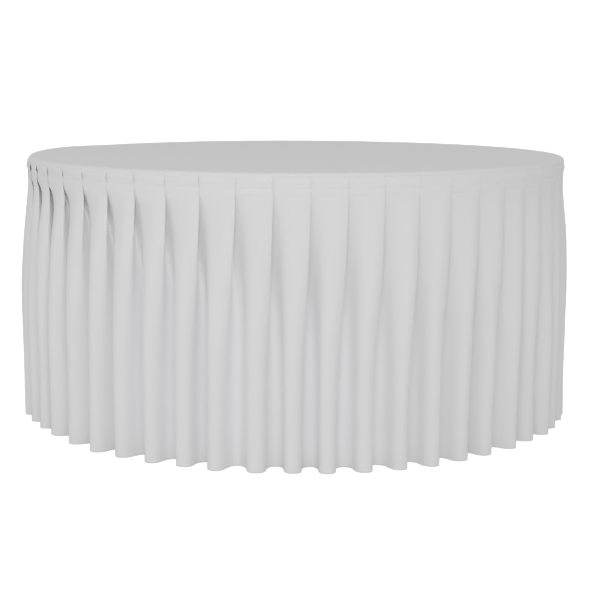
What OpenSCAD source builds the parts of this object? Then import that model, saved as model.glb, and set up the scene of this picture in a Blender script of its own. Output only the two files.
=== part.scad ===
// Round folding banquet table under a fitted, floor-length cover with knife pleats.
// Millimetres, +Z up. The origin is on the floor, below the centre of the table top.
// The left and right leg sets fold inward about hinges that run front to back.

/* [Table top] */
// Diameter of the table top over its edge moulding
table_d = 1524; // [1480:2:1840]
// Height of the covered surface above the floor
cloth_top_z = 750; // [735:1:770]
// Thickness of the plywood core
ply_t = 18; // [15:1:25]
// Thickness of the laminate sheet bonded on the plywood
laminate_t = 0.8; // [0.6:0.1:1.5]
// Thickness of the T-shaped moulding round the edge
moulding_t = 3; // [2:0.5:5]

/* [Cover] */
// Thickness of the single cloth of the top panel
cloth_t = 1.2; // [0.6:0.1:2]
// Thickness of the pleated cloth with its folds lying flat
pleat_t = 2.2; // [1.5:0.1:4]
// Room between the table edge and the inside of the skirt
cover_ease = 2.2; // [1.8:0.1:6]
// Radius of the shoulder where the top panel turns down
shoulder_r = 6; // [3:0.5:8]
// Depth of the turned-down rim, down to the rim seam
rim_drop = 9; // [9:0.5:20]
// Depth of the flat, stitched head of the pleats
header_drop = 58; // [40:1:90]
// Gap between the hem and the floor
hem_gap = 7; // [3:1:30]
// How far the skirt stands out at the hem
hem_flare = 18; // [5:1:40]
// Number of cloth widths sewn together round the skirt
skirt_panels = 4; // [4:1:4]

/* [Leg sets] */
// Outside diameter of the leg tubes
leg_d = 25; // [22:1:26]
// Wall of every steel tube
tube_wall = 1.5; // [1:0.1:2]
// Distance of the leg hinges from the middle of the table
pivot_x = 500; // [480:5:520]
// Depth of the left hinge below the plywood
left_pivot_drop = 42; // [41:1:45]
// How much lower the right hinge is, so that the folded leg sets nest
nest_drop = 28; // [27:1:32]
// Half the distance between the tubes of the left leg set
left_half_w = 280; // [275:1:285]
// Half the distance between the tubes of the right leg set
right_half_w = 240; // [230:1:245]
// Outward lean of the standing legs
leg_splay = 4; // [2:0.5:6]
// Diameter of the stretcher between the legs
stretcher_d = 22; // [20:1:24]
// Distance along a leg from its hinge to the stretcher
stretcher_at = 420; // [400:5:440]
// Outside diameter of the foot caps
foot_d = 30; // [28:1:32]
// Height of the foot caps
foot_h = 34; // [25:1:50]

/* [Braces] */
// Distance from a leg hinge inward to the upper brace pin
brace_back = 300; // [280:5:320]
// Distance from the stretcher's axis to the lower brace pin
ear_reach = 24; // [22:1:26]
// Width of the flat brace links
link_w = 18; // [16:1:20]
// Thickness of the brace links
link_t = 4; // [3:0.5:5]
// Half the gap between the planes of the two links
link_gap = 3; // [2.5:0.5:4]
// Diameter of the brace pins
pin_d = 8; // [6:1:8]

/* [Hidden] */
$fn = 96;

left = -1;
right = 1;
front = -1;
rear = 1;

table_r = table_d / 2;
table_z = cloth_top_z - cloth_t;
core_r = table_r - moulding_t;
ply_top_z = table_z - laminate_t;
under_z = ply_top_z - ply_t;

skirt_in_r = table_r + cover_ease;
skirt_top_z = cloth_top_z - rim_drop;
header_z = cloth_top_z - header_drop;
trim_t = 1;
tape_h = 12;
label_angle = 2.4;
label_h = 45;

barb_h = 2;
barb_depth = 8;

rail_len = 1200;
rail_w = 28;
rail_t = 3;
rail_y = 307.5;
bracket_t = 3;
bracket_r = 21;
bracket_w = 70;
hinge_play = 0.05;
pivot_reach = 11;
plug_t = 3;

plate_w = 80;
plate_t = 4;
ear_t = 3;
ear_gap = 0.3;
ear_r = 12;
ear_w = 40;
head_d = 16;
head_t = 2.5;
pin_play = 0.05;
open_pivot_gap = 0.2;

screw_d = 4.2;
screw_depth = 12;
screw_head_d = 9;
screw_head_t = 2.5;
screw_inset = 28;
rail_screw_pitch = 220;
rail_screws = 6;

foot_floor = 6;
below = 100;

function pivot_z(side) = under_z - left_pivot_drop - (side > 0 ? nest_drop : 0);
function half_w(side) = side > 0 ? right_half_w : left_half_w;

// Brace triangle, seen from the front with the leg hinge as its origin
top_pin = [-brace_back, ear_reach];
bottom_pin = [
    stretcher_at * sin(leg_splay) - ear_reach * cos(leg_splay),
    -stretcher_at * cos(leg_splay) - ear_reach * sin(leg_splay)
];
brace_run = bottom_pin - top_pin;
brace_tilt = atan2(-brace_run[1], brace_run[0]);
upper_len = (norm(brace_run) - (stretcher_at - brace_back)) / 2;
lower_len = norm(brace_run) - upper_len;

screw_spots = concat(
    [for (y = [-1, 1], i = [0 : rail_screws - 1])
        [(i - (rail_screws - 1) / 2) * rail_screw_pitch, y * (rail_y + rail_w / 2 + rail_t / 2), rail_t]],
    [for (side = [-1, 1], dx = [-1, 1], dy = [-1, 1])
        [side * (pivot_x - brace_back) + dx * screw_inset, dy * screw_inset, plate_t]]
);

// Places its children at a leg hinge, in the frame of the right-hand side
module at_pivot(side) {
    mirror([side < 0 ? 1 : 0, 0, 0])
        translate([pivot_x, 0, pivot_z(side)])
            children();
}

// The same, with the leg running straight down the local Z axis
module along_leg(side) {
    at_pivot(side) rotate([0, -leg_splay, 0]) children();
}

// Cylinder along Y from y0 to y1
module rod_y(d, y0, y1) {
    translate([0, y1, 0]) rotate([90, 0, 0]) cylinder(d = d, h = y1 - y0);
}

// Plate in the XZ plane from y0 to y0 + t, from a flat outline
module plate_y(y0, t) {
    translate([0, y0 + t, 0]) rotate([90, 0, 0]) linear_extrude(t) children();
}

module hollow_rod_y(d, y0, y1) {
    difference() {
        rod_y(d, y0, y1);
        rod_y(d - 2 * tube_wall, y0 - 1, y1 + 1);
    }
}

// ---- cover

// Half section of a disc whose upper edge is rounded
module rounded_disc_outline(r, h, corner) {
    square([r - corner, h]);
    square([r, h - corner]);
    translate([r - corner, h - corner]) intersection() {
        circle(r = corner);
        square(corner);
    }
}

module top_panel() {
    color("whitesmoke") rotate_extrude() translate([0, skirt_top_z]) difference() {
        rounded_disc_outline(skirt_in_r + cloth_t, rim_drop, shoulder_r);
        rounded_disc_outline(skirt_in_r, rim_drop - cloth_t, shoulder_r - cloth_t);
    }
}

module skirt_panel(index) {
    sweep = 360 / skirt_panels;
    color("white") rotate([0, 0, index * sweep]) rotate_extrude(angle = sweep) polygon([
        [skirt_in_r, skirt_top_z],
        [skirt_in_r, header_z],
        [skirt_in_r + hem_flare, hem_gap],
        [skirt_in_r + hem_flare + pleat_t, hem_gap],
        [skirt_in_r + pleat_t, header_z],
        [skirt_in_r + pleat_t, skirt_top_z]
    ]);
}

module inside_band(z0, h, sweep) {
    rotate_extrude(angle = sweep) translate([skirt_in_r - trim_t, z0]) square([trim_t, h]);
}

module rim_seam_binding() {
    color("white") inside_band(skirt_top_z - tape_h, tape_h, 360);
}

module header_tape() {
    color("whitesmoke") inside_band(header_z, tape_h, 360);
}

module care_label() {
    color("white") rotate([0, 0, 90]) inside_band(header_z - label_h, label_h, label_angle);
}

// ---- table top and its steel

module plywood_top() {
    color("burlywood") difference() {
        translate([0, 0, under_z]) cylinder(r = core_r, h = ply_t);
        rotate_extrude() translate([core_r - barb_depth, under_z + (ply_t - barb_h) / 2])
            square([barb_depth + 1, barb_h]);
        for (spot = screw_spots)
            translate([spot[0], spot[1], under_z - 1]) cylinder(d = screw_d, h = screw_depth + 1);
    }
}

module laminate_sheet() {
    color("beige") translate([0, 0, ply_top_z]) cylinder(r = core_r, h = laminate_t);
}

module edge_moulding() {
    edge_h = ply_t + laminate_t;
    color("dimgray") rotate_extrude() {
        intersection() {
            union() {
                translate([table_r - moulding_t, under_z + moulding_t])
                    square([moulding_t, edge_h - 2 * moulding_t]);
                for (z = [under_z + moulding_t, table_z - moulding_t])
                    translate([table_r - moulding_t, z]) circle(r = moulding_t);
            }
            translate([table_r - moulding_t, under_z]) square([moulding_t, edge_h]);
        }
        translate([core_r - barb_depth, under_z + (ply_t - barb_h) / 2]) square([barb_depth, barb_h]);
    }
}

// Angle bar whose flange points outward, front or rear
module rail(y_side) {
    color("silver") difference() {
        mirror([0, y_side < 0 ? 1 : 0, 0]) translate([-rail_len / 2, rail_y, under_z]) {
            translate([0, 0, -rail_w]) cube([rail_len, rail_t, rail_w]);
            translate([0, 0, -rail_t]) cube([rail_len, rail_w, rail_t]);
        }
        for (spot = screw_spots)
            translate([spot[0], spot[1], under_z - rail_w / 2]) cylinder(d = screw_d, h = rail_w);
    }
}

module pivot_bracket(side, y_side) {
    top = under_z - pivot_z(side);
    y0 = y_side > 0 ? rail_y - bracket_t : -rail_y;
    color("silver") at_pivot(side) difference() {
        plate_y(y0, bracket_t) union() {
            circle(r = bracket_r);
            polygon([
                [-bracket_r, 0], [bracket_r, 0],
                [bracket_w / 2, top - rail_w], [bracket_w / 2, top],
                [-bracket_w / 2, top], [-bracket_w / 2, top - rail_w]
            ]);
        }
        rod_y(leg_d + 2 * hinge_play, y0 - 1, y0 + bracket_t + 1);
    }
}

module brace_bracket(side) {
    top = under_z - pivot_z(side) - ear_reach;
    y0 = link_gap + link_t + ear_gap;
    color("silver") at_pivot(side) translate([-brace_back, 0, ear_reach]) difference() {
        union() {
            plate_y(y0, ear_t) union() {
                circle(r = ear_r);
                polygon([
                    [-ear_r, 0], [ear_r, 0],
                    [ear_w / 2, top - plate_t], [-ear_w / 2, top - plate_t]
                ]);
            }
            translate([-plate_w / 2, -plate_w / 2, top - plate_t]) cube([plate_w, plate_w, plate_t]);
        }
        rod_y(pin_d, y0 - 1, y0 + ear_t + 1);
        for (dx = [-1, 1], dy = [-1, 1])
            translate([dx * screw_inset, dy * screw_inset, top - 2 * plate_t])
                cylinder(d = screw_d, h = 3 * plate_t);
    }
}

// Pin with two flat heads, through an ear and a link between y0 and y1
module headed_pin(y0, y1) {
    rod_y(pin_d, y0, y1);
    rod_y(head_d, y0 - head_t, y0);
    rod_y(head_d, y1, y1 + head_t);
}

module top_brace_pin(side) {
    color("gray") at_pivot(side) translate([-brace_back, 0, ear_reach])
        headed_pin(link_gap - ear_gap, link_gap + link_t + ear_gap + ear_t);
}

module wood_screws() {
    color("gray") for (spot = screw_spots) translate([spot[0], spot[1], under_z]) {
        translate([0, 0, -spot[2]]) cylinder(d = screw_d, h = screw_depth + spot[2]);
        translate([0, 0, -spot[2] - screw_head_t]) cylinder(d = screw_head_d, h = screw_head_t);
    }
}

// ---- leg sets

module pivot_tube(side) {
    reach = rail_y + pivot_reach;
    color("lightgray") at_pivot(side) hollow_rod_y(leg_d, -reach, reach);
}

module tube_plugs(side) {
    reach = rail_y + pivot_reach;
    bore_d = leg_d - 2 * tube_wall;
    color("black") at_pivot(side) for (y_side = [0, 1]) mirror([0, y_side, 0]) {
        rod_y(bore_d, reach - 4 * plug_t, reach);
        rod_y(leg_d, reach, reach + plug_t);
    }
}

module leg_tube(side, y_side) {
    leg_len = pivot_z(side) / cos(leg_splay) - foot_floor;
    color("lightgray") along_leg(side) difference() {
        translate([0, y_side * half_w(side), -leg_len]) difference() {
            cylinder(d = leg_d, h = leg_len);
            translate([0, 0, -1]) cylinder(d = leg_d - 2 * tube_wall, h = leg_len + 2);
        }
        rod_y(leg_d, -rail_y, rail_y);
    }
}

module stretcher(side) {
    color("lightgray") along_leg(side) difference() {
        translate([0, 0, -stretcher_at]) hollow_rod_y(stretcher_d, -half_w(side), half_w(side));
        for (y_side = [-1, 1])
            translate([0, y_side * half_w(side), -stretcher_at - stretcher_d])
                cylinder(d = leg_d, h = 2 * stretcher_d);
    }
}

module foot_cap(side, y_side) {
    leg_len = pivot_z(side) / cos(leg_splay) - foot_floor;
    color("black") difference() {
        along_leg(side) translate([0, y_side * half_w(side), -leg_len]) difference() {
            translate([0, 0, -2 * foot_floor]) cylinder(d = foot_d, h = foot_h + 2 * foot_floor);
            cylinder(d = leg_d, h = foot_h + 1);
        }
        translate([-table_r, -table_r, -below]) cube([table_d, table_d, below]);
    }
}

module stretcher_ear(side) {
    y0 = -link_gap - link_t - ear_gap - ear_t;
    color("lightgray") along_leg(side) translate([0, 0, -stretcher_at]) difference() {
        plate_y(y0, ear_t) union() {
            translate([-ear_reach, 0]) circle(r = ear_r);
            polygon([[-ear_reach, -ear_r], [0, -stretcher_d], [0, stretcher_d], [-ear_reach, ear_r]]);
        }
        rod_y(stretcher_d, -half_w(side), half_w(side));
        translate([-ear_reach, 0, 0]) rod_y(pin_d, y0 - 1, y0 + ear_t + 1);
    }
}

module bottom_brace_pin(side) {
    color("gray") along_leg(side) translate([-ear_reach, 0, -stretcher_at])
        headed_pin(-link_gap - link_t - ear_gap - ear_t, -link_gap + ear_gap);
}

// ---- braces

// Flat bar with round ends, from the local origin along +X
module link_bar(len, y0, first_bore, last_bore) {
    plate_y(y0, link_t) difference() {
        union() {
            circle(d = link_w);
            translate([len, 0]) circle(d = link_w);
            translate([0, -link_w / 2]) square([len, link_w]);
        }
        circle(d = first_bore);
        translate([len, 0]) circle(d = last_bore);
    }
}

module on_brace(side, from_top) {
    at_pivot(side) translate([top_pin[0], 0, top_pin[1]])
        rotate([0, brace_tilt, 0]) translate([from_top, 0, 0]) children();
}

module upper_link(side) {
    color("lightgray") on_brace(side, 0)
        link_bar(upper_len, link_gap, pin_d + 2 * pin_play, pin_d);
}

module lower_link(side) {
    color("lightgray") on_brace(side, upper_len)
        link_bar(lower_len, -link_gap - link_t, pin_d, pin_d + 2 * pin_play);
}

// Half of the elbow rivet: its head, its shank in one link and half of the spacer
module elbow_half() {
    rod_y(head_d, open_pivot_gap, link_gap);
    rod_y(pin_d, link_gap, link_gap + link_t);
    rod_y(head_d, link_gap + link_t, link_gap + link_t + head_t);
}

module elbow_head(side) {
    color("gray") on_brace(side, upper_len) elbow_half();
}

module elbow_tail(side) {
    color("gray") on_brace(side, upper_len) mirror([0, 1, 0]) elbow_half();
}

top_panel();
skirt_panel(0);  // skirt_panel_1
skirt_panel(1);  // skirt_panel_2
skirt_panel(2);  // skirt_panel_3
skirt_panel(3);  // skirt_panel_4
rim_seam_binding();
header_tape();
care_label();
plywood_top();
laminate_sheet();
edge_moulding();
rail(front);  // front_rail
rail(rear);  // rear_rail
pivot_bracket(left, front);  // left_front_bracket
pivot_bracket(left, rear);  // left_rear_bracket
pivot_bracket(right, front);  // right_front_bracket
pivot_bracket(right, rear);  // right_rear_bracket
brace_bracket(left);  // left_brace_bracket
brace_bracket(right);  // right_brace_bracket
top_brace_pin(left);  // left_top_pin
top_brace_pin(right);  // right_top_pin
wood_screws();
pivot_tube(left);  // left_pivot_tube
leg_tube(left, front);  // left_front_leg
leg_tube(left, rear);  // left_rear_leg
stretcher(left);  // left_stretcher
foot_cap(left, front);  // left_front_foot
foot_cap(left, rear);  // left_rear_foot
tube_plugs(left);  // left_tube_plugs
stretcher_ear(left);  // left_stretcher_ear
bottom_brace_pin(left);  // left_bottom_pin
pivot_tube(right);  // right_pivot_tube
leg_tube(right, front);  // right_front_leg
leg_tube(right, rear);  // right_rear_leg
stretcher(right);  // right_stretcher
foot_cap(right, front);  // right_front_foot
foot_cap(right, rear);  // right_rear_foot
tube_plugs(right);  // right_tube_plugs
stretcher_ear(right);  // right_stretcher_ear
bottom_brace_pin(right);  // right_bottom_pin
upper_link(left);  // left_upper_link
elbow_head(left);  // left_elbow_head
lower_link(left);  // left_lower_link
elbow_tail(left);  // left_elbow_tail
upper_link(right);  // right_upper_link
elbow_head(right);  // right_elbow_head
lower_link(right);  // right_lower_link
elbow_tail(right);  // right_elbow_tail
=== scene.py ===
import math

import bpy
import bmesh
import numpy as np
from mathutils import Matrix, Vector


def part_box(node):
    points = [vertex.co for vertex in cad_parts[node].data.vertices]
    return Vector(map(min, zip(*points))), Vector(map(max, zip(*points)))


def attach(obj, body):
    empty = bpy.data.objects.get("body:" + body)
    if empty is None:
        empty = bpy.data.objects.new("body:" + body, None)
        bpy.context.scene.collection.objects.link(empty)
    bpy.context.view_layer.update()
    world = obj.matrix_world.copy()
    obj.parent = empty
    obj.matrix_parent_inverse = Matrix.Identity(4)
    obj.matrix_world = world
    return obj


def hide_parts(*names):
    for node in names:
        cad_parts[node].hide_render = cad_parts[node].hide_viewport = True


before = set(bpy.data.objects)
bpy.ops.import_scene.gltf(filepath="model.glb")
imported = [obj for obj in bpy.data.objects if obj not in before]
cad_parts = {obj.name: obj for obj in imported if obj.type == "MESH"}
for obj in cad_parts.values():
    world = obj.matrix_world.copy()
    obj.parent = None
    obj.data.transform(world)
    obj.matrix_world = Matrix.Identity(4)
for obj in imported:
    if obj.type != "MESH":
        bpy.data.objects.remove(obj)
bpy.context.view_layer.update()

# measures shared by every cover piece, worked out from the frame
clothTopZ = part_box("top_panel")[1][2]
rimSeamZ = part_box("top_panel")[0][2]
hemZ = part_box("skirt_panel_1")[0][2]
skirtDrop = rimSeamZ - hemZ


def smooth(x):
    x = np.clip(x, 0.0, 1.0)
    return x * x * (3 - 2 * x)


def eased(x, steps):
    # a rise made of a few soft steps, each with its height, start and length
    return sum(height * smooth((x - start) / length) for height, start, length in steps)


def feed(tree, node, inputs):
    # inputs are given by socket name or number, as a plain value or as another node's socket
    for label, value in inputs.items():
        if isinstance(value, bpy.types.NodeSocket):
            tree.links.new(value, node.inputs[label])
        else:
            node.inputs[label].default_value = value


def addNode(tree, kind, where=(0, 0), inputs=None, **values):
    node = tree.nodes.new(kind)
    node.location = where
    for key, value in values.items():
        setattr(node, key, value)
    feed(tree, node, inputs or {})
    return node


def mathNode(tree, operation, *terms):
    return addNode(tree, "ShaderNodeMath", inputs=dict(enumerate(terms)), operation=operation).outputs[0]


def mixColour(tree, factor, first, second, blend="MIX"):
    first, second = ((*colour, 1) if isinstance(colour, tuple) else colour for colour in (first, second))
    node = addNode(tree, "ShaderNodeMix", inputs={0: factor, 6: first, 7: second},
                   data_type="RGBA", blend_type=blend)
    return node.outputs[2]


def noiseNode(tree, place, scale=1.0, detail=2.0, stretch=None, turn=(0.0, 0.0, 0.0)):
    if stretch:
        mapping = addNode(tree, "ShaderNodeMapping",
                          inputs={"Vector": place, "Scale": stretch, "Rotation": turn})
        place = mapping.outputs[0]
    return addNode(tree, "ShaderNodeTexNoise", inputs={"Vector": place, "Scale": scale, "Detail": detail})


def groupTree(name, inputs, outputs):
    tree = bpy.data.node_groups.new(name, "ShaderNodeTree")
    for label, kind, value in inputs:
        socket = tree.interface.new_socket(name=label, in_out="INPUT", socket_type=kind)
        if value is not None:
            socket.default_value = value
    for label in outputs:
        tree.interface.new_socket(name=label, in_out="OUTPUT", socket_type="NodeSocketFloat")
    return tree, tree.nodes.new("NodeGroupInput").outputs, tree.nodes.new("NodeGroupOutput")


def newMaterial(name):
    mat = bpy.data.materials.new(name)
    mat.use_nodes = True
    mat.node_tree.nodes.clear()
    return mat, mat.node_tree


def surfaceMaterial(name, values):
    # a principled shader wired to its output, with the values that are the same all over
    mat, tree = newMaterial(name)
    shader = addNode(tree, "ShaderNodeBsdfPrincipled", (500, 0), values)
    addNode(tree, "ShaderNodeOutputMaterial", (800, 0), {0: shader.outputs[0]})
    return mat, tree, shader


def coatShader(tree, shader, colour, height, strength, distance):
    bump = addNode(tree, "ShaderNodeBump", (200, -300),
                   {"Strength": strength, "Distance": distance, "Height": height})
    feed(tree, shader, {"Base Color": colour, "Normal": bump.outputs[0]})


def makeWeaveGroup():
    # plain weave: warp and weft threads pass over and under each other, with slubs and a soft mottle
    tree, given, out = groupTree(
        "plainWeave",
        [("Cloth", "NodeSocketVector", None), ("Threads", "NodeSocketFloat", 1700.0),
         ("Slub", "NodeSocketFloat", 0.5), ("Mottle", "NodeSocketFloat", 0.5)],
        ["Height", "Tone"])
    cloth = given["Cloth"]
    split = addNode(tree, "ShaderNodeSeparateXYZ", inputs={0: cloth})
    turn = mathNode(tree, "MULTIPLY", given["Threads"], math.pi)
    warp, weft = [mathNode(tree, "SINE", mathNode(tree, "MULTIPLY", split.outputs[axis], turn))
                  for axis in (0, 1)]
    crossing = mathNode(tree, "MULTIPLY", warp, weft)
    ridge = mathNode(tree, "MULTIPLY", mathNode(tree, "ABSOLUTE", warp), mathNode(tree, "ABSOLUTE", weft))
    slubs = [noiseNode(tree, cloth, stretch=stretch).outputs[0]
             for stretch in ((2600.0, 45.0, 1.0), (45.0, 2600.0, 1.0))]
    slub = mathNode(tree, "SUBTRACT", mathNode(tree, "ADD", *slubs), 1.0)
    slub = mathNode(tree, "MULTIPLY", slub, given["Slub"])
    cloud = noiseNode(tree, cloth, 240.0, 4.0).outputs[0]
    mottle = mathNode(tree, "MULTIPLY", mathNode(tree, "SUBTRACT", cloud, 0.5), given["Mottle"])
    relief = mathNode(tree, "ADD", mathNode(tree, "MULTIPLY", crossing, 0.35),
                      mathNode(tree, "MULTIPLY", ridge, 0.5))
    tone = mathNode(tree, "ADD", mathNode(tree, "ADD", slub, mottle),
                    mathNode(tree, "MULTIPLY", crossing, 0.06))
    feed(tree, out, {"Height": mathNode(tree, "ADD", relief, slub), "Tone": tone})
    return tree


weaveSet = {
    "slub": 0.45,
    "mottle": 0.7,
    "contrast": 0.14,  # the darkest and lightest threads lie this far from the cloth's colour
    "relief": 0.5,
}
weaveGroup = makeWeaveGroup()


def clothMaterial(name, colour, threads=1700.0, toneGain=0.10, bump=0.00010, rough=0.85, sheen=0.12):
    # the weave follows the piece's own cloth map, in metres
    s = weaveSet
    mat, tree, shader = surfaceMaterial(name, {
        "Roughness": rough, "Sheen Weight": sheen, "Sheen Roughness": 0.45, "Specular IOR Level": 0.25})
    uv = addNode(tree, "ShaderNodeUVMap", (-700, 0), uv_map="cloth")
    weave = addNode(tree, "ShaderNodeGroup", (-450, 0), {
        "Cloth": uv.outputs[0], "Threads": threads, "Slub": s["slub"], "Mottle": s["mottle"]},
        node_tree=weaveGroup)
    tone = mathNode(tree, "ADD", mathNode(tree, "MULTIPLY", weave.outputs["Tone"], toneGain), 0.5)
    dark = tuple(c * (1 - s["contrast"]) for c in colour)
    light = tuple(min(1.0, c * (1 + s["contrast"])) for c in colour)
    base = mixColour(tree, tone, dark, light)
    coatShader(tree, shader, base, weave.outputs["Height"], s["relief"], bump)
    return mat


coverCloth = clothMaterial("coverCloth", (0.927, 0.922, 0.962), toneGain=0.16, sheen=0.3)
tapeMat = clothMaterial("cottonTape", (0.70, 0.69, 0.66), threads=1100.0, bump=0.00015)
labelMat = clothMaterial("labelSatin", (0.82, 0.82, 0.82), threads=2400.0, rough=0.4)
print("cloth materials done")


def meshFromGrid(name, points, uvs):
    # points is rows x columns x 3, uvs is rows x columns x 2
    rows, cols = points.shape[:2]
    mesh = bpy.data.meshes.new(name)
    index = np.arange(rows * cols).reshape(rows, cols)
    a, b = index[:-1, :-1], index[:-1, 1:]
    c, d = index[1:, 1:], index[1:, :-1]
    quads = np.stack([a, d, c, b], axis=-1).reshape(-1, 4)
    mesh.from_pydata(points.reshape(-1, 3).tolist(), [], quads.tolist())
    layer = mesh.uv_layers.new(name="cloth")
    flat = uvs.reshape(-1, 2)[quads.reshape(-1)]
    layer.data.foreach_set("uv", flat.astype(np.float32).reshape(-1))
    mesh.polygons.foreach_set("use_smooth", np.ones(len(mesh.polygons), dtype=bool))
    mesh.update()
    obj = bpy.data.objects.new(name, mesh)
    bpy.context.collection.objects.link(obj)
    return obj


def closeSeams(obj, pole=0.0):
    # joins the two ends of a ring, fills the hole at a pole, and points the faces outwards
    bm = bmesh.new()
    bm.from_mesh(obj.data)
    bmesh.ops.remove_doubles(bm, verts=bm.verts, dist=0.00002)
    if pole:
        bmesh.ops.contextual_create(bm, geom=[v for v in bm.verts if v.co.xy.length < pole])
    bmesh.ops.recalc_face_normals(bm, faces=bm.faces)
    bm.to_mesh(obj.data)
    bm.free()
    obj.data.polygons.foreach_set("use_smooth", np.ones(len(obj.data.polygons), dtype=bool))


def thicken(obj, thickness, offset=-1.0):
    mod = obj.modifiers.new("cloth thickness", "SOLIDIFY")
    mod.thickness = thickness
    mod.offset = offset
    mod.use_rim = True


coverSet = {
    "pleats": 52,
    "clothWidths": 4,
    "firstLine": math.radians(-66.43),  # angle of one pleat line, from the front toward the right
    "widthSeam": math.radians(2.8),  # two cloth widths meet in a valley here, and every quarter turn from it
    "fullness": 2.02,  # cloth in a pleat over the width that it covers
    "clothThick": 0.0005,
    "headRadius": 0.7662,  # outer face of the stitched head
    "lineOne": 0.0305,  # first stitch line, below the rim seam
    "lineTwo": 0.0485,  # second stitch line
    "hemTurn": 0.018,
    "turnGap": 0.0012,  # from the skirt to the cloth turned up behind it
    "turnLift": 0.0003,

    # where the crests hang
    "spread": 0.0205,  # how far they swing out below the head
    "spreadSteps": ((0.6, 0.030, 0.20), (0.4, 0.12, 0.32)),
    "leftSpread": 0.0060,  # how much further on the left
    "leftSteps": ((0.45, 0.030, 0.15), (0.55, 0.14, 0.24)),
    "hemReturn": 0.0025,  # how far they come back in by the hem
    "returnFrom": 0.6,
    "wander": (0.0070, 0.0125),  # sideways by the hem, in radians: usual and most
    "swing": 0.0016,

    # how a pleat opens, in shares of the drop
    "firstOpening": 0.14,  # the quick opening of the fold on the right, and half of it on the left
    "openingOnset": 0.03,
    "panelLag": 0.22,  # how much more slowly the panel follows
    "lastOpening": 0.90,
    "earlyShare": 0.50,  # how much of the opening is quick
    "rightBlend": (0.80, 1.0),  # the left's way of opening becomes the right's over this much of the sine
    "waveAngle": 1.52,  # steepest turn of the open wave

    # where the open crest starts past the pleat line, in shares of a pleat's cloth, and where that has gone
    "crestShift": 0.10,
    "crestDrift": 0.55,
    "leftShift": 0.07,
    "leftDrift": 0.34,
    "shiftOnset": 0.10,

    # how round the folds are
    "foldLeast": 0.0011,
    "foldPuff": 0.0027,  # between the seam and the first stitch line
    "foldPuffTwo": 0.0008,  # between the stitch lines
    "foldGrowth": 0.070,  # cloth in a fold's turn by the hem
    "leftPuff": 0.4,

    # relief of the stitched head
    "pillow": 0.0012,  # how far the cloth stands out between the seam and the first stitch line
    "allowance": 0.0007,  # the seam allowance inside shows as a low step
    "allowanceEnd": 0.0160,
    "dent": 0.0009,  # how deep the stitch lines pull in
    "dentWidth": 0.0022,
    "foldRelease": 0.0022,  # how far the fold springs out below the first stitch line
    "releaseLength": 0.028,
    "releaseFade": (0.12, 0.25),
    "sewnEnd": (0.08, 0.12),  # the second line runs off the panel here, in shares of the pitch
}


def heightLevels():
    # depths below the rim seam, close together at the allowance, the stitch lines and the hem turn
    s = coverSet
    step, one, two = s["allowanceEnd"], s["lineOne"], s["lineTwo"]
    turn = skirtDrop - s["hemTurn"]
    groove = np.array([-0.0015, 0.0, 0.0015])
    return np.unique(np.round(np.concatenate([
        np.linspace(0, step - 0.0015, 5), step + np.array([0.0, 0.0015, 0.0030]),
        np.linspace(step + 0.005, one - 0.003, 3), one + groove,
        np.linspace(one + 0.004, two - 0.003, 4), two + groove,
        two + (skirtDrop - two) * np.linspace(0, 1, 44)[1:] ** 1.25,
        turn + np.array([-0.002, 0.0, 0.002]), skirtDrop - np.array([0.008, 0.003])]), 5))


def samplePoints(pitch, cloth):
    # places along one pleat, from the middle of a panel to the middle of the next, close at the folds
    near = np.array([-9, -6, -4, -2.6, -1.3, 0, 1.3, 2.6, 4, 6, 9]) * 0.001
    fold, valley, edge = pitch / 2, cloth / 2, near[-1]
    runs = [np.linspace(0, fold - edge, 5)[:-1], fold + near,
            np.linspace(fold + edge, valley - edge, 4)[1:-1], valley + near,
            np.linspace(valley + edge, cloth, 12)[1:]]
    return np.unique(np.round(np.concatenate(runs), 6))


def crestAngles():
    # angle of each panel's middle at the head, and how far the crest wanders and swings by the hem
    s = coverSet
    step = 2 * math.pi / s["pleats"]
    head = s["firstLine"] + step * (np.arange(s["pleats"]) + 0.5)
    draw = np.random.RandomState(7)
    usual, most = s["wander"]
    wander = np.clip(draw.normal(0, usual, s["pleats"]), -most, most)
    swing = draw.normal(0, s["swing"], s["pleats"])
    return head, wander, swing


def crestPaths(levels, head, wander, swing):
    # radius and angle of each crest at each level
    s = coverSet
    depth = levels[:, None]
    t = depth / skirtDrop
    leftness = np.clip(-np.sin(head), 0, 1)
    radius = s["headRadius"] + s["spread"] * eased(depth, s["spreadSteps"]) \
        + s["leftSpread"] * leftness * eased(depth, s["leftSteps"])
    radius = radius + (swing * t - s["hemReturn"] * smooth((t - s["returnFrom"]) / (1 - s["returnFrom"])))
    return radius, head + wander * smooth(t / 0.9)


def towardNext(values, across):
    # blends each pleat's value into the next pleat's along the cloth
    return values[..., None] * (1 - across) + np.roll(values, -1, axis=-1)[..., None] * across


def pleatOpening(levels, fromFold, shareAt):
    # 0 where the pleat is flat and 1 where it is a wave: the fold lets go at the first stitch line,
    # the panel at the second
    s = coverSet
    depth = levels[:, None]
    foldOpen, panelOpen = [np.clip((depth - line) / (skirtDrop - line), 0, 1)
                           for line in (s["lineOne"], s["lineTwo"])]
    opened = (foldOpen * fromFold + panelOpen * (1 - fromFold))[:, None, :]
    quick = s["firstOpening"] * (1 - 0.5 * (1 - shareAt)) + s["panelLag"] * (1 - fromFold)
    early = (1 - np.exp(-opened / quick)) / (1 - np.exp(-1 / quick))
    early *= smooth(opened / (s["openingOnset"] * (1 + (1 - shareAt))))
    openness = s["earlyShare"] * early + (1 - s["earlyShare"]) * smooth(opened / s["lastOpening"])
    return np.clip(openness, 0, 1)


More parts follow.
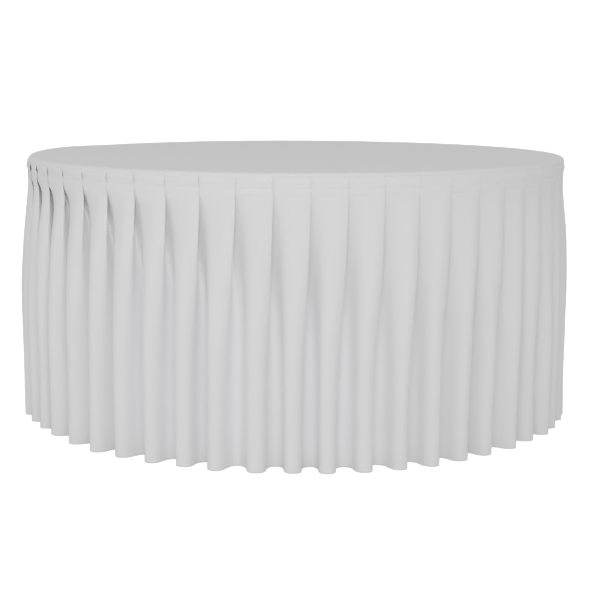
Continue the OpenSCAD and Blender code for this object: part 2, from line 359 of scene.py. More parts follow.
def pleatShape(levels, mid, pitch, cloth, rightShare):
    # which way the cloth runs along each pleat, between the flat knife pleat and the open wave
    s = coverSet
    across = mid / cloth
    shareAt = towardNext(rightShare, across)
    fromFold = smooth((cloth - mid)[None, :] / (cloth - cloth / 2))
    openness = pleatOpening(levels, fromFold, shareAt)

    # the folds are pinched at the seam and at each stitch line, and puff a little between them
    puff = s["foldPuff"] * np.sin(np.pi * np.clip(levels / s["lineOne"], 0, 1) ** 1.5) ** 1.2
    between = (levels - s["lineOne"]) / (s["lineTwo"] - s["lineOne"])
    puff += s["foldPuffTwo"] * np.sin(np.pi * np.clip(between, 0, 1))
    puff = s["foldLeast"] + puff[:, None] * (1 + s["leftPuff"] - s["leftPuff"] * rightShare)
    below = np.clip((levels - s["lineOne"]) / skirtDrop, 0, 1)
    foldWidth = (math.pi * puff * 0.5 + s["foldGrowth"] * smooth(below / 0.85)[:, None])[..., None]
    outerTurn, innerTurn = [smooth((mid - fold) / foldWidth + 0.5) for fold in (pitch / 2, cloth / 2)]
    knife = math.pi * (outerTurn - innerTurn)

    # the crest starts off the middle of the panel and drifts to it
    drift = below[:, None, None]
    crestAt = s["crestShift"] * shareAt * (1 - smooth(drift / s["crestDrift"])) \
        + s["leftShift"] * (1 - shareAt) * (1 - smooth(drift / s["leftDrift"]))
    crestAt = crestAt * smooth(drift / s["shiftOnset"])
    wave = s["waveAngle"] * np.sin(2 * math.pi * (across - crestAt))
    return (1 - openness) * knife + openness * wave, openness


def fitPleats(shape, openness, radius, angle, du):
    # turns the shape up or down until each pleat spans exactly from its crest to the next one
    nextRadius = np.roll(radius, -1, axis=1)
    nextAngle = np.roll(angle, -1, axis=1)
    nextAngle[:, -1] += 2 * math.pi
    sideways, outward = (nextAngle - angle) * radius, nextRadius - radius
    chord = np.hypot(sideways, outward)
    least = np.full_like(chord, 0.6)
    most = np.minimum(1 / np.maximum(1 - openness.mean(-1), 0.6), 1.5) + 0 * chord
    for _ in range(26):
        gain = (least + most) / 2
        phi = -gain[:, :, None] * shape
        wide = np.hypot(np.cos(phi).sum(-1), np.sin(phi).sum(-1)) * du > chord
        least = np.where(wide, gain, least)
        most = np.where(wide, most, gain)
    phi = -((least + most) / 2)[:, :, None] * shape
    start = np.zeros((*chord.shape, 1))
    along = np.concatenate([start, np.cumsum(np.cos(phi), -1) * du], -1)
    inward = np.concatenate([start, np.cumsum(np.sin(phi), -1) * du], -1)
    tilt = np.arctan2(outward, sideways) - np.arctan2(inward[..., -1], along[..., -1])
    scale = chord / np.hypot(along[..., -1], inward[..., -1])
    cosT, sinT = (np.cos(tilt) * scale)[..., None], (np.sin(tilt) * scale)[..., None]
    return along * cosT - inward * sinT, along * sinT + inward * cosT


def headRelief(levels, samples, pitch, cloth, rightShare):
    # the head is a row of pillows between the stitch lines, and the fold springs out below the first line
    s = coverSet
    belowOne, belowTwo = levels - s["lineOne"], levels - s["lineTwo"]
    upper = s["pillow"] * np.sin(np.pi * np.clip(levels / s["lineOne"], 0, 1)) \
        + s["allowance"] * (1 - smooth((levels - s["allowanceEnd"]) / 0.003)) \
        - s["dent"] * np.exp(-(belowOne / s["dentWidth"]) ** 2)
    lower = 0.4 * s["pillow"] * np.sin(np.pi * np.clip(belowOne / (s["lineTwo"] - s["lineOne"]), 0, 1)) \
        - s["dent"] * np.exp(-(belowTwo / s["dentWidth"]) ** 2) * (belowOne > 0)
    end, fade = s["sewnEnd"]
    pastSewn = smooth((samples - end * pitch) / (fade * pitch))
    onPanel = 1 - pastSewn + smooth((samples - cloth + pitch / 2 + 0.004) / 0.008)
    onFold = pastSewn * (1 - smooth((samples - pitch / 2) / (cloth / 2 - pitch / 2)))
    start, length = s["releaseFade"]
    release = s["foldRelease"] * smooth(belowOne / s["releaseLength"]) \
        * (1 - smooth((levels - start) / length))
    return upper[:, None, None] + lower[:, None, None] * np.clip(onPanel, 0, 1) \
        + release[:, None, None] * onFold * (0.25 + 0.75 * rightShare)[None, :, None]


def pleatSurface():
    # each pleat is one run of cloth whose length never changes, in arrays of level x pleat x place
    s = coverSet
    levels = heightLevels()
    pitch = s["headRadius"] * (2 * math.pi / s["pleats"])
    cloth = pitch * s["fullness"]
    samples = samplePoints(pitch, cloth)
    fine = np.linspace(0, cloth, 241)
    du = fine[1] - fine[0]
    head, wander, swing = crestAngles()
    start, width = s["rightBlend"]
    rightShare = smooth((np.sin(head) + start) / width)
    shape, openness = pleatShape(levels, (fine[:-1] + fine[1:]) / 2, pitch, cloth, rightShare)
    radius, angle = crestPaths(levels, head, wander, swing)
    along, inward = fitPleats(shape, openness, radius, angle, du)

    # keep the sample places only
    place = np.searchsorted(fine, samples).clip(1, len(fine) - 1)
    part = (samples - fine[place - 1]) / du
    along, inward = [values[..., place - 1] * (1 - part) + values[..., place] * part
                     for values in (along, inward)]
    inward = inward + headRelief(levels, samples, pitch, cloth, rightShare)

    # below the head the crests lie on their own paths
    crest = inward.max(-1)
    crest = towardNext((crest + np.roll(crest, 1, axis=1)) / 2, samples / cloth)
    inward = inward - crest * smooth((levels - s["lineOne"]) / 0.05)[:, None, None]
    theta = (angle[..., None] + along / radius[..., None])[:, :, :-1].reshape(len(levels), -1)
    reach = (radius[..., None] + inward)[:, :, :-1].reshape(len(levels), -1)
    return {
        "theta": theta, "reach": reach, "z": rimSeamZ - levels[:, None] + 0 * theta, "levels": levels,
        "cloth": (np.arange(s["pleats"])[:, None] * cloth + samples[None, :-1]).reshape(-1),
        "perPleat": len(samples) - 1, "valley": int(np.argmin(np.abs(samples - cloth / 2))),
        "samples": samples[:-1], "pitch": pitch, "pleatCloth": cloth,
    }


hangSet = {
    "swells": 26,  # slow random swells, so that no two pleats hang quite alike
    "swell": 0.00055,
    "swellRings": (9, 90),  # fewest and most of them round the table
    "swellTall": (0.6, 3.2),  # half waves down the drop
    # the hem's height wanders round the table: height, number of waves, phase
    "hemWaves": ((0.0006, 7, 0.6), (0.0005, 19, 2.1), (0.0032, 4, -1.0 - math.pi / 2)),
    "hemDrop": 0.0018,
    "leftRaise": ((0.008, 0.64, 0.14), (0.010, 0.76, 0.13)),  # the hem rides up at the far left
}


def softCreases(surface):
    s = hangSet
    theta, z = surface["theta"], surface["z"]
    t = (rimSeamZ - z) / skirtDrop
    draw = np.random.RandomState(21)
    bump = 0 * theta
    for _ in range(s["swells"]):
        ring = draw.randint(*s["swellRings"])
        tall = draw.uniform(*s["swellTall"])
        phase = draw.uniform(0, 2 * math.pi, 2)
        bump += np.sin(ring * theta + phase[0]) * np.sin(tall * t * math.pi + phase[1])
    surface["reach"] = surface["reach"] + s["swell"] * bump * smooth((t - 0.07) / 0.3)
    sway = sum(height * np.sin(waves * theta + phase) for height, waves, phase in s["hemWaves"])
    sway += eased(-np.sin(theta), s["leftRaise"]) - s["hemDrop"]
    surface["z"] = z + sway * smooth((t - 0.3) / 0.7)
    return surface


def gridPoints(theta, reach, z):
    # theta 0 is the front of the table, and grows toward the right
    return np.stack([reach * np.sin(theta), -reach * np.cos(theta), z], axis=-1)


def surfaceNormals(points):
    across = np.roll(points, -1, axis=1) - np.roll(points, 1, axis=1)
    down = np.gradient(points, axis=0)
    normal = np.cross(down, across)
    return normal / np.maximum(np.linalg.norm(normal, axis=-1, keepdims=True), 1e-9)


def buildSkirt():
    s = coverSet
    surface = softCreases(pleatSurface())
    points = gridPoints(surface["theta"], surface["reach"], surface["z"])
    normals = surfaceNormals(points)
    perPleat, levels = surface["perPleat"], surface["levels"]
    total = perPleat * s["pleats"]
    perWidth = total // s["clothWidths"]
    seamPleat = round((s["widthSeam"] - s["firstLine"]) / (2 * math.pi / s["pleats"])) - 1
    first = seamPleat * perPleat + surface["valley"]
    turnRows = np.nonzero(levels > skirtDrop - s["hemTurn"] - 1e-6)[0][::-1]
    heights = np.concatenate([levels, 2 * levels[-1] - levels[turnRows]])
    made = []
    for width, panel in enumerate((4, 1, 2, 3)):
        columns = np.arange(first + width * perWidth, first + (width + 1) * perWidth + 1)
        wrapped = columns % total
        outer = points[:, wrapped]
        inner = outer[turnRows] - normals[turnRows][:, wrapped] * s["turnGap"]
        inner[0, :, 2] += s["turnLift"]
        across = surface["cloth"][wrapped] + (columns // total) * s["pleats"] * surface["pleatCloth"]
        uvs = np.stack(np.broadcast_arrays(across[None, :], heights[:, None]), axis=-1)
        obj = meshFromGrid("skirtWidth" + str(width + 1), np.concatenate([outer, inner], axis=0), uvs)
        obj.data.materials.append(coverCloth)
        thicken(obj, s["clothThick"])
        made.append((obj, "skirt_panel_" + str(panel)))
    print("skirt", perWidth, "columns a width,", len(heights), "rows")
    return made, surface, points, normals


skirtWidths, skirtSurface, skirtPoints, skirtNormals = buildSkirt()

topSet = {
    "sectors": 416,
    "lip": 0.0010,  # how far the rim stands out past the head
    "roll": 0.0007,  # swell of the edge above the seam
    "shoulderRight": 0.0088,  # radius of the turn over the rim
    "shoulderLeft": 0.0113,
    "shoulderRise": 0.009,
    "seamDrop": 0.0008,
    "seamSag": 0.006,  # how much lower the rim seam sits on the left
    "leftRise": 0.0048,  # slack cloth stands up a little inside the left rim
    "riseTurn": 0.12,  # where, in radians past the far left, and over how much of the sine
    "riseWidth": 0.14,
    "pull": 0.00025,  # the pleats pull the rim in and out
}


def rimSeam(theta):
    left = smooth((-np.sin(theta) + 0.15) / 1.15)
    return left, rimSeamZ - topSet["seamDrop"] - topSet["seamSag"] * left


def buildTopPanel():
    s = topSet
    outer = coverSet["headRadius"] + s["lip"]
    theta = np.linspace(0, 2 * math.pi, s["sectors"] + 1)
    left, seamZ = rimSeam(theta)
    atLeft = smooth((-np.sin(theta + s["riseTurn"]) - 1 + s["riseWidth"]) / s["riseWidth"])
    shoulder = s["shoulderRight"] + (s["shoulderLeft"] - s["shoulderRight"]) * left \
        + s["shoulderRise"] * atLeft
    crown = clothTopZ + s["leftRise"] * atLeft
    rows = []
    for share in (0.0005, 0.15, 0.3, 0.45, 0.6, 0.72, 0.82, 0.89, 0.92, 0.94, 0.96, 0.975, 0.99, 1.0):
        rise = (crown - clothTopZ) * smooth((share - 0.90) / 0.085)
        rows.append(((outer - shoulder) * share, clothTopZ + rise))
    for turn in np.linspace(0, math.pi / 2, 9)[1:]:
        fall = np.minimum(shoulder + crown - clothTopZ, crown - seamZ - 0.004)
        rows.append((outer - shoulder + shoulder * math.sin(turn), crown - fall * (1 - math.cos(turn))))
    last = rows[-1][1]
    for share in (0.3, 0.55, 0.72, 0.86, 0.95, 1.0):
        rows.append((outer + s["roll"] * math.sin(math.pi * share ** 1.6), last + (seamZ - last) * share))
    rows += [(outer - 0.0007, seamZ - 0.0001), (outer - 0.0016, seamZ + 0.0002)]  # tucked in above the pleats
    reach, z = [np.array([row[axis] + 0 * theta for row in rows]) for axis in (0, 1)]
    pull = s["pull"] * np.sin(coverSet["pleats"] * (theta - coverSet["firstLine"]))
    z = z + smooth((reach / outer - 0.97) / 0.03) * pull * (z > clothTopZ - 0.02)
    points = gridPoints(theta + 0 * reach, reach, z)
    run = np.concatenate([np.zeros((1, len(theta))),
                          np.cumsum(np.hypot(np.diff(reach, axis=0), np.diff(z, axis=0)), axis=0)])
    uvs = np.stack([run * np.sin(theta), -run * np.cos(theta)], axis=-1)
    obj = meshFromGrid("topPanel", points, uvs)
    closeSeams(obj, pole=0.002)
    obj.data.materials.append(coverCloth)
    thicken(obj, coverSet["clothThick"])
    print("top panel", len(obj.data.vertices), "points")
    return obj


topPanel = buildTopPanel()

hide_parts("top_panel")
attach(topPanel, "cover")
for obj, node in skirtWidths:
    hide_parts(node)
    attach(obj, "cover")


def ringSheet(name, section, material, thickness, wave=0.0, seed=3):
    # a band of cloth sewn into a ring, from its cross section, top first
    theta = np.linspace(0, 2 * math.pi, topSet["sectors"] + 1)
    section = np.array(section)
    draw = np.random.RandomState(seed)
    sway = 0 * theta
    for _ in range(9):
        sway += np.sin(draw.randint(5, 80) * theta + draw.uniform(0, 2 * math.pi)) / 4
    drop = (section[0, 1] - section[:, 1]) / max(np.ptp(section[:, 1]), 1e-6)
    reach = section[:, 0][:, None] + 0 * theta
    z = section[:, 1][:, None] + wave * drop[:, None] * sway[None, :]
    points = gridPoints(theta[None, :] + 0 * reach, reach, z)
    run = np.concatenate([[0], np.cumsum(np.hypot(*np.diff(section, axis=0).T))])
    uvs = np.stack(np.broadcast_arrays(theta[None, :] * section[0, 0], run[:, None]), axis=-1)
    obj = meshFromGrid(name, points, uvs)
    closeSeams(obj)
    obj.data.materials.append(material)
    thicken(obj, thickness, offset=0.0)
    return obj, float(run[-1])


trimSet = {
    "bindingRadius": 0.7637,
    "bindingThick": 0.0004,
    "bindingWave": 0.0007,
    "tapeRadius": 0.7610,
    "tapeThick": 0.0008,
    "tapeBelow": 0.003,
    "tapeWave": 0.0003,
}


def buildTrims():
    s = trimSet
    low, high = (c[2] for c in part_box("rim_seam_binding"))
    r = s["bindingRadius"]
    # down behind the seam, round the fold, and up again
    binding, bindingWide = ringSheet("seamBinding", [
        (r + 0.0011, high - 0.0010), (r + 0.0005, high - 0.0026), (r + 0.0001, high - 0.0065),
        (r, low + 0.0020), (r - 0.0003, low + 0.0006), (r - 0.0006, low + 0.0002),
        (r - 0.0010, low + 0.0006), (r - 0.0011, low + 0.0025), (r - 0.0011, high - 0.0045),
    ], coverCloth, s["bindingThick"], wave=s["bindingWave"])
    low, high = (c[2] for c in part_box("header_tape"))
    low -= s["tapeBelow"]
    r = s["tapeRadius"]
    tape, tapeWide = ringSheet("headerTape", [
        (r + 0.0003, high), (r, high - 0.0035), (r - 0.0001, (high + low) / 2),
        (r, low + 0.004), (r + 0.0002, low),
    ], tapeMat, s["tapeThick"], wave=s["tapeWave"], seed=5)
    return binding, bindingWide, tape, tapeWide


labelSet = {
    "lean": 0.020,  # the pleats push the label's lower edge in
    "gap": 0.0012,
    "curl": 0.0030,
    "thick": 0.00025,
}


def buildLabel():
    s = labelSet
    low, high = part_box("care_label")
    wide = high[0] - low[0]
    tall = high[2] - low[2]
    top = Vector(((low[0] + high[0]) / 2, trimSet["tapeRadius"] - 0.0008, high[2] + 0.001))
    down = np.concatenate([np.linspace(0, 1, 14), np.linspace(1, 0, 14)[1:]])
    behind = np.concatenate([np.zeros(13), [0.5], np.ones(13)])
    across = np.linspace(-0.5, 0.5, 11)
    x = top.x + across[None, :] * wide + 0 * down[:, None]
    bend = s["lean"] * smooth(down)[:, None] + s["curl"] * (4 * across[None, :] ** 2) * down[:, None] ** 2
    y = top.y - bend - s["gap"] * behind[:, None]
    z = top.z - down[:, None] * tall * math.cos(s["lean"] / tall * 0.8) + 0 * x
    run = np.linspace(0, 2 * tall, len(down))
    uvs = np.stack(np.broadcast_arrays(across[None, :] * wide, run[:, None]), axis=-1)
    obj = meshFromGrid("careLabel", np.stack([x, y, z], axis=-1), uvs)
    obj.data.materials.append(labelMat)
    thicken(obj, s["thick"], offset=0.0)
    return obj, wide, 2 * tall


seamBinding, bindingWide, headerTape, tapeWide = buildTrims()
careLabel, labelWide, labelTall = buildLabel()
aroundTable = 2 * math.pi * coverSet["headRadius"]
for obj, node, slot, flat, hold, onto in (
        (seamBinding, "rim_seam_binding", "cotton_tape", (aroundTable, bindingWide), "folded", topPanel),
        (headerTape, "header_tape", "cotton_tape", (aroundTable, tapeWide), "stretched", skirtWidths[0][0]),
        (careLabel, "care_label", "label_satin", (labelWide, labelTall), "folded", headerTape)):
    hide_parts(node)
    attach(obj, "cover")
print("trims", round(bindingWide, 4), round(tapeWide, 4))


def threadMaterial(name, colour):
    mat, tree, shader = surfaceMaterial(name, {"Roughness": 0.6, "Sheen Weight": 0.15})
    where = addNode(tree, "ShaderNodeTexCoord", (-700, 0))
    noise = noiseNode(tree, where.outputs["Object"], 900.0).outputs[0]
    base = mixColour(tree, noise, tuple(c * 0.9 for c in colour), colour)
    coatShader(tree, shader, base, noise, 0.5, 0.0001)
    return mat


threadMat = threadMaterial("sewingThread", (0.93, 0.93, 0.93))


def makeStitchTree():
    # small beads set along a path and turned to follow it
    tree = bpy.data.node_groups.new("stitchRow", "GeometryNodeTree")
    face = tree.interface
    face.new_socket(name="Geometry", in_out="INPUT", socket_type="NodeSocketGeometry")
    for label, value in (("Spacing", 0.0028), ("Length", 0.0022), ("Width", 0.00045), ("Uneven", 0.12)):
        face.new_socket(name=label, in_out="INPUT", socket_type="NodeSocketFloat").default_value = value
    face.new_socket(name="Seed", in_out="INPUT", socket_type="NodeSocketInt").default_value = 4
    face.new_socket(name="Thread", in_out="INPUT", socket_type="NodeSocketMaterial")
    face.new_socket(name="Geometry", in_out="OUTPUT", socket_type="NodeSocketGeometry")
    given = addNode(tree, "NodeGroupInput", (-900, 0)).outputs
    curve = addNode(tree, "GeometryNodeMeshToCurve", (-650, 100), {0: given["Geometry"]})
    spaced = addNode(tree, "GeometryNodeResampleCurve", (-400, 100),
                     {"Curve": curve.outputs[0], "Length": given["Spacing"]}, mode="LENGTH")
    bead = addNode(tree, "GeometryNodeMeshUVSphere", (-400, -200), {"Segments": 5, "Rings": 4, "Radius": 0.5})
    size = addNode(tree, "ShaderNodeCombineXYZ", (-400, -400),
                   {0: given["Width"], 1: given["Width"], 2: given["Length"]})
    stitch = addNode(tree, "GeometryNodeTransform", (-150, -200),
                     {"Geometry": bead.outputs["Mesh"], "Scale": size.outputs[0]})
    tangent = addNode(tree, "GeometryNodeInputTangent", (-400, -600))
    turn = addNode(tree, "FunctionNodeAlignRotationToVector", (-150, -500),
                   {"Vector": tangent.outputs[0]}, axis="Z")
    smallest = mathNode(tree, "SUBTRACT", 1.0, given["Uneven"])
    vary = addNode(tree, "FunctionNodeRandomValue", (-150, -750),
                   {2: smallest, 3: 1.0, "Seed": given["Seed"]}, data_type="FLOAT")
    place = addNode(tree, "GeometryNodeInstanceOnPoints", (200, 100), {
        "Points": spaced.outputs[0], "Instance": stitch.outputs[0],
        "Rotation": turn.outputs[0], "Scale": vary.outputs[1]})
    real = addNode(tree, "GeometryNodeRealizeInstances", (450, 100), {0: place.outputs[0]})
    dyed = addNode(tree, "GeometryNodeSetMaterial", (700, 100),
                   {"Geometry": real.outputs[0], "Material": given["Thread"]})
    addNode(tree, "NodeGroupOutput", (1100, 0), {0: dyed.outputs[0]})
    return tree


stitchTree = makeStitchTree()


def sewRows(name, rows, values):
    # rows is a list of (points, closed); values are the tree's own inputs by name
    verts, edges = [], []
    for points, closed in rows:
        start = len(verts)
        verts += [tuple(p) for p in points]
        edges += [(start + i, start + i + 1) for i in range(len(points) - 1)]
        if closed:
            edges.append((start + len(points) - 1, start))
    path = bpy.data.meshes.new(name + "Path")
    path.from_pydata(verts, edges, [])
    guide = bpy.data.objects.new(name + "Path", path)
    bpy.context.collection.objects.link(guide)
    mod = guide.modifiers.new("stitches", "NODES")
    mod.node_group = stitchTree
    for item in stitchTree.interface.items_tree:
        if item.item_type == "SOCKET" and item.in_out == "INPUT" and item.name in values:
            mod[item.identifier] = values[item.name]
    evaluated = guide.evaluated_get(bpy.context.evaluated_depsgraph_get())
    mesh = bpy.data.meshes.new_from_object(evaluated)
    mesh.name = name
    bpy.data.objects.remove(guide)
    obj = bpy.data.objects.new(name, mesh)
    bpy.context.collection.objects.link(obj)
    mesh.polygons.foreach_set("use_smooth", np.ones(len(mesh.polygons), dtype=bool))
    print(name, len(mesh.polygons), "faces")
    return obj


stitchSet = {
    "spacing": 0.0029,
    "length": 0.0024,
    "width": 0.0005,
    "stand": 0.00020,  # how far a stitch's middle stands off the cloth
    "hemSpacing": 0.0040,
    "hemLength": 0.0031,
    "topStitchUp": 0.0024,  # above the rim seam
}


def pushOut(points, distance):
    flat = np.hypot(points[:, 0], points[:, 1])[:, None]
    return points + np.concatenate([points[:, :2] / flat, 0 * flat], axis=1) * distance


def nearestLevel(depth):
    return int(np.argmin(np.abs(skirtSurface["levels"] - depth)))


def headRows():
    # the first line runs all round, the second is a short arc on each panel and a row inside, on the tape
    s = stitchSet
    surface, per, count = skirtSurface, skirtSurface["perPleat"], coverSet["pleats"]
    samples, pitch, cloth = surface["samples"], surface["pitch"], surface["pleatCloth"]
    right = np.nonzero(samples <= pitch / 2 + 1e-6)[0]
    left = np.nonzero(samples >= cloth - pitch / 2 - 1e-6)[0]
    sewn = np.nonzero(samples <= 0.10 * pitch)[0]
    one = skirtPoints[nearestLevel(coverSet["lineOne"])]
    two = skirtPoints[nearestLevel(coverSet["lineTwo"])]
    ring, arcs = [], []
    for k in range(count):
        ring += list(one[k * per + right]) + list(one[k * per + left])
        after = ((k + 1) % count) * per
        arc = np.concatenate([two[k * per + left[1:]], two[after + sewn]])
        arcs.append((pushOut(arc, s["stand"]), False))
    inside = np.linspace(0, 2 * math.pi, 721)[:-1]
    tapeRow = gridPoints(inside, trimSet["tapeRadius"] - trimSet["tapeThick"] * 0.7 + 0 * inside,
                         rimSeamZ - coverSet["lineTwo"] + 0 * inside)
    return [(pushOut(np.array(ring), s["stand"]), True), (tapeRow, True)] + arcs


def hemRow():
    row = nearestLevel(skirtDrop - coverSet["hemTurn"] + 0.002)
    return skirtPoints[row] + skirtNormals[row] * stitchSet["stand"]


def rimRow():
    theta = np.linspace(0, 2 * math.pi, 721)[:-1]
    _, seamZ = rimSeam(theta)
    reach = coverSet["headRadius"] + topSet["lip"] + topSet["roll"] * 0.9 + stitchSet["stand"]
    return gridPoints(theta, reach + 0 * theta, seamZ + stitchSet["topStitchUp"])


plain = {"Spacing": stitchSet["spacing"], "Length": stitchSet["length"], "Width": stitchSet["width"],
         "Thread": threadMat}
headStitches = sewRows("headStitches", headRows(), plain)
rimStitches = sewRows("rimStitches", [(rimRow(), True)], plain)
hemStitches = sewRows("hemStitches", [(hemRow(), True)],
                      {**plain, "Spacing": stitchSet["hemSpacing"], "Length": stitchSet["hemLength"]})
for obj in (headStitches, rimStitches, hemStitches):
    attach(obj, "cover")


def makeFinishGroup():
    # cloudy tone, fine grain and long scratches, for paint, metal, plastic and laminate
    tree, given, out = groupTree(
        "surfaceFinish",
        [("Place", "NodeSocketVector", None), ("Grain", "NodeSocketFloat", 900.0),
         ("Cloud", "NodeSocketFloat", 9.0), ("Scratch", "NodeSocketFloat", 0.3)],
        ["Tone", "Height", "Mark"])
    place = given["Place"]
    grain = noiseNode(tree, place, given["Grain"], 2.0).outputs[0]
    cloud = noiseNode(tree, place, given["Cloud"], 5.0).outputs[0]
    line = noiseNode(tree, place, detail=1.0, stretch=(14.0, 500.0, 500.0), turn=(0.3, 0.2, 0.5))
    sharp = addNode(tree, "ShaderNodeMapRange", inputs={
        "Value": line.outputs[0], "From Min": 0.66, "From Max": 0.74}, clamp=True)
    feed(tree, out, {
        "Tone": mathNode(tree, "ADD", mathNode(tree, "MULTIPLY", grain, 0.35),
                         mathNode(tree, "MULTIPLY", cloud, 0.65)),
        "Height": grain,
        "Mark": mathNode(tree, "MULTIPLY", sharp.outputs[0], given["Scratch"])})
    return tree


finishGroup = makeFinishGroup()


def solidMaterial(name, dark, light, worn, rough, metallic=0.0,
                  grain=900.0, cloud=9.0, scratch=0.3, bump=0.00008):
    # tone runs from dark to light, scratches show the worn colour, and lighter places are a little rougher
    mat, tree, shader = surfaceMaterial(name, {"Metallic": metallic})
    where = addNode(tree, "ShaderNodeTexCoord", (-800, 0))
    finish = addNode(tree, "ShaderNodeGroup", (-550, 0), {
        "Place": where.outputs["Object"], "Grain": grain, "Cloud": cloud, "Scratch": scratch},
        node_tree=finishGroup).outputs
    base = mixColour(tree, finish["Tone"], dark, light)
    base = mixColour(tree, finish["Mark"], base, worn)
    spread = addNode(tree, "ShaderNodeMapRange", (200, -100), {
        "Value": finish["Tone"], "From Min": 0.3, "From Max": 0.7,
        "To Min": rough - 0.07, "To Max": rough + 0.09}, clamp=True)
    feed(tree, shader, {"Roughness": spread.outputs[0]})
    coatShader(tree, shader, base, finish["Height"], 0.4, bump)
    return mat


def plywoodMaterial():
    # long wavy figure with fine pores along the grain
    mat, tree, shader = surfaceMaterial("plywood", {"Roughness": 0.62})
    place = addNode(tree, "ShaderNodeTexCoord", (-900, 0)).outputs["Object"]
    bend = noiseNode(tree, place, 1.6).outputs["Color"]
    bent = addNode(tree, "ShaderNodeVectorMath", (-500, -100),
                   {0: bend, 1: (0.0, 0.25, 0.0), 2: place}, operation="MULTIPLY_ADD").outputs[0]
    rings, pores = [noiseNode(tree, bent, detail=4.0, stretch=stretch).outputs[0]
                    for stretch in ((1.1, 26.0, 26.0), (9.0, 420.0, 420.0))]
    figure = mathNode(tree, "SINE", mathNode(tree, "MULTIPLY", rings, 60.0))
    figure = mathNode(tree, "MULTIPLY_ADD", figure, 0.25, 0.5)
    base = mixColour(tree, figure, (0.46, 0.30, 0.16), (0.62, 0.45, 0.27))
    base = mixColour(tree, pores, base, (0.34, 0.21, 0.11), blend="MULTIPLY")
    coatShader(tree, shader, base, pores, 0.5, 0.0002)
    return mat


plywood = plywoodMaterial()
laminate = solidMaterial("laminate", (0.30, 0.29, 0.27), (0.44, 0.43, 0.40), (0.5, 0.49, 0.46), 0.35,
                         grain=420.0, cloud=60.0, scratch=0.2, bump=0.00003)
vinyl = solidMaterial("edgeVinyl", (0.035, 0.027, 0.022), (0.065, 0.050, 0.040), (0.12, 0.10, 0.08), 0.45)
zinc = solidMaterial("zincSteel", (0.30, 0.31, 0.32), (0.46, 0.46, 0.45), (0.24, 0.23, 0.21), 0.34,
                     metallic=1.0, grain=260.0, cloud=24.0, scratch=0.5)
paint = solidMaterial("greyPaint", (0.20, 0.21, 0.22), (0.26, 0.27, 0.28), (0.42, 0.42, 0.42), 0.42,
                      grain=1400.0, scratch=0.35, bump=0.00012)
plastic = solidMaterial("blackPlastic", (0.018, 0.018, 0.019), (0.035, 0.035, 0.036), (0.07, 0.07, 0.07),
                        0.55, grain=1800.0, scratch=0.2)

finishes = (
    (plywood, ("plywood_top",)),
    (laminate, ("laminate_sheet",)),
    (vinyl, ("edge_moulding",)),
    (plastic, ("_foot", "_plugs")),
    (paint, ("pivot_tube", "front_leg", "rear_leg", "_stretcher", "_ear")),
    (zinc, ("_rail", "_bracket", "_pin", "_link", "_elbow_head", "_elbow_tail", "wood_screws")),
)
for name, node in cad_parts.items():
    for material, endings in finishes:
        if name.endswith(endings):
            node.data.materials.clear()
            node.data.materials.append(material)
            break
    else:
        if not node.hide_render:
            print("no finish for", name)
print(len(finishes), "table finishes")

weldSet = {
    "spacing": 0.0021,  # beads overlap into a weld seam
    "length": 0.0040,
    "width": 0.0034,
    "uneven": 0.25,
    "steps": 48,
}


def boxMiddle(node):
    low, high = (np.array(corner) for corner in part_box(node))
    return (low + high) / 2, (high - low) / 2


def weldRows(side):
    # rings where each leg meets the pivot tube above it and the stretcher beside it
    pivot, _ = boxMiddle(side + "_pivot_tube")
    stretcher, stretcherHalf = boxMiddle(side + "_stretcher")
    down = stretcher - pivot
    down[1] = 0
    down /= np.linalg.norm(down)
    along = np.array([0.0, 1.0, 0.0])
    sideways = np.cross(down, along)
    turn = np.linspace(0, 2 * math.pi, weldSet["steps"] + 1)[:-1, None]
    rows = []
    for leg in ("_front_leg", "_rear_leg"):
        middle, half = boxMiddle(side + leg)
        legRadius, stretcherRadius = half[1], stretcherHalf[2]
        top = np.array([pivot[0], middle[1], pivot[2]])
        saddle = legRadius * (np.cos(turn) * along + np.sin(turn) * sideways + np.abs(np.cos(turn)) * down)
        rows.append((top + saddle, True))
        joint = np.array([stretcher[0], middle[1], stretcher[2]])
        reach = np.sqrt(legRadius ** 2 - (stretcherRadius * np.sin(turn)) ** 2)
        ring = stretcherRadius * (np.cos(turn) * down + np.sin(turn) * sideways)
        rows.append((joint + ring - math.copysign(1, middle[1]) * reach * along, True))
    return rows


for side in ("left", "right"):
    welds = sewRows(side + "Welds", weldRows(side),
                    {"Spacing": weldSet["spacing"], "Length": weldSet["length"], "Width": weldSet["width"],
                     "Uneven": weldSet["uneven"], "Thread": paint})
    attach(welds, side + "_leg")


cameraSet = {
    "distance": 4.5424,
    "height": 1.0193,
    "focal": 93.574,  # mm on a 36 mm sensor
    "pitch": 8.7379,
    "yaw": 0.1675,
    "roll": 0.1892,
}


def buildCamera():
    s = cameraSet
    data = bpy.data.cameras.new("camera")
    data.lens = s["focal"]
    data.sensor_width = 36.0
    camera = bpy.data.objects.new("camera", data)
    bpy.context.collection.objects.link(camera)
    camera.location = (0, -s["distance"], s["height"])
    yaw = Matrix.Rotation(math.radians(-s["yaw"]), 4, "Z")
    pitch = Matrix.Rotation(math.radians(90 - s["pitch"]), 4, "X")
    roll = Matrix.Rotation(math.radians(s["roll"]), 4, "Z")
    camera.rotation_euler = (yaw @ pitch @ roll).to_euler()
    bpy.context.scene.camera = camera


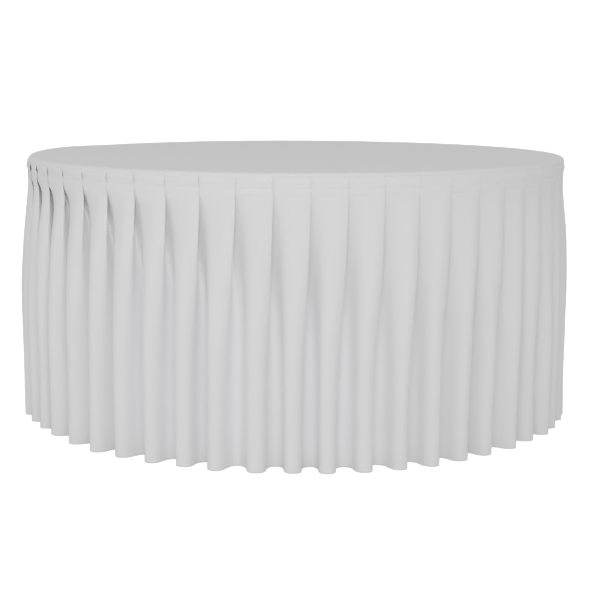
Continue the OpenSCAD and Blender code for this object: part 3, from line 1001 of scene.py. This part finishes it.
lightSet = {
    "walls": 0.33,
    "ceiling": 0.63,
    "backdrop": 1.05,
    "floor": 1.05,
    "toneCurve": ((0.20, 0.23), (0.42, 0.48), (0.78, 0.68)),  # flat in the whites
    "aim": (0.0, 0.0, 0.4),
    "front": 66.0,
    "frontPlace": (0.0, -5.1, 1.1),
    "frontSize": 2.2,
    "frontColour": (1.0, 0.99, 0.975),
    "side": 19.0,
    "sidePlace": (-4.0, -2.0, 1.2),
    "sideSize": 2.6,
    "sideColour": (0.985, 0.99, 1.0),
    "sideShares": ((1, 1.0), (-1, 0.35)),  # the softbox on the right is the weaker one
}


def areaLight(name, place, energy, size, colour):
    data = bpy.data.lights.new(name, "AREA")
    data.energy = energy
    data.size = size
    data.color = colour
    light = bpy.data.objects.new(name, data)
    bpy.context.collection.objects.link(light)
    light.location = place
    light.rotation_euler = (Vector(lightSet["aim"]) - Vector(place)).to_track_quat("-Z", "Y").to_euler()


def seenByCamera(tree, lit, seen):
    # the camera sees one shader, and light bounces off the other
    path = addNode(tree, "ShaderNodeLightPath", (300, 300))
    mix = addNode(tree, "ShaderNodeMixShader", (600, 0),
                  {0: path.outputs["Is Camera Ray"], 1: lit.outputs[0], 2: seen.outputs[0]})
    return mix.outputs[0]


def buildLight():
    # bright walls, a brighter ceiling, and a white backdrop where the camera looks past the table
    s = lightSet
    world = bpy.data.worlds.new("studio")
    bpy.context.scene.world = world
    world.use_nodes = True
    tree = world.node_tree
    tree.nodes.clear()
    where = addNode(tree, "ShaderNodeTexCoord", (-700, 0))
    split = addNode(tree, "ShaderNodeSeparateXYZ", (-500, 0), {0: where.outputs["Generated"]})
    up = addNode(tree, "ShaderNodeMapRange", (-300, 0), {
        "Value": split.outputs[2], "From Min": 0.15, "From Max": 0.85,
        "To Min": s["walls"], "To Max": s["ceiling"]}, clamp=True)
    room = addNode(tree, "ShaderNodeBackground", (300, 100), {0: (1, 1, 1, 1), 1: up.outputs[0]})
    backdrop = addNode(tree, "ShaderNodeBackground", (300, -100), {0: (1, 1, 1, 1), 1: s["backdrop"]})
    addNode(tree, "ShaderNodeOutputWorld", (800, 0), {0: seenByCamera(tree, room, backdrop)})
    areaLight("frontSoftbox", s["frontPlace"], s["front"], s["frontSize"], s["frontColour"])
    x, y, z = s["sidePlace"]
    for side, share in s["sideShares"]:
        areaLight("sideSoftbox", (x * side, y, z), s["side"] * share, s["sideSize"], s["sideColour"])
    view = bpy.context.scene.view_settings
    view.view_transform = "Standard"
    view.look = "None"
    view.use_curve_mapping = True
    for light, tone in s["toneCurve"]:
        view.curve_mapping.curves[3].points.new(light, tone).handle_type = "VECTOR"
    view.curve_mapping.update()


def buildFloor():
    bpy.ops.mesh.primitive_plane_add(size=60, location=(0, 0, 0))
    floor = bpy.context.object
    floor.name = "studioFloor"
    mat, tree = newMaterial("floorPaper")
    paper = addNode(tree, "ShaderNodeBsdfDiffuse", (0, 0), {0: (0.75, 0.75, 0.75, 1)})
    glow = addNode(tree, "ShaderNodeEmission", (0, -200), {1: lightSet["floor"]})
    addNode(tree, "ShaderNodeOutputMaterial", (800, 0), {0: seenByCamera(tree, paper, glow)})
    floor.data.materials.append(mat)


buildCamera()
buildLight()
buildFloor()
print("camera, light and floor done")
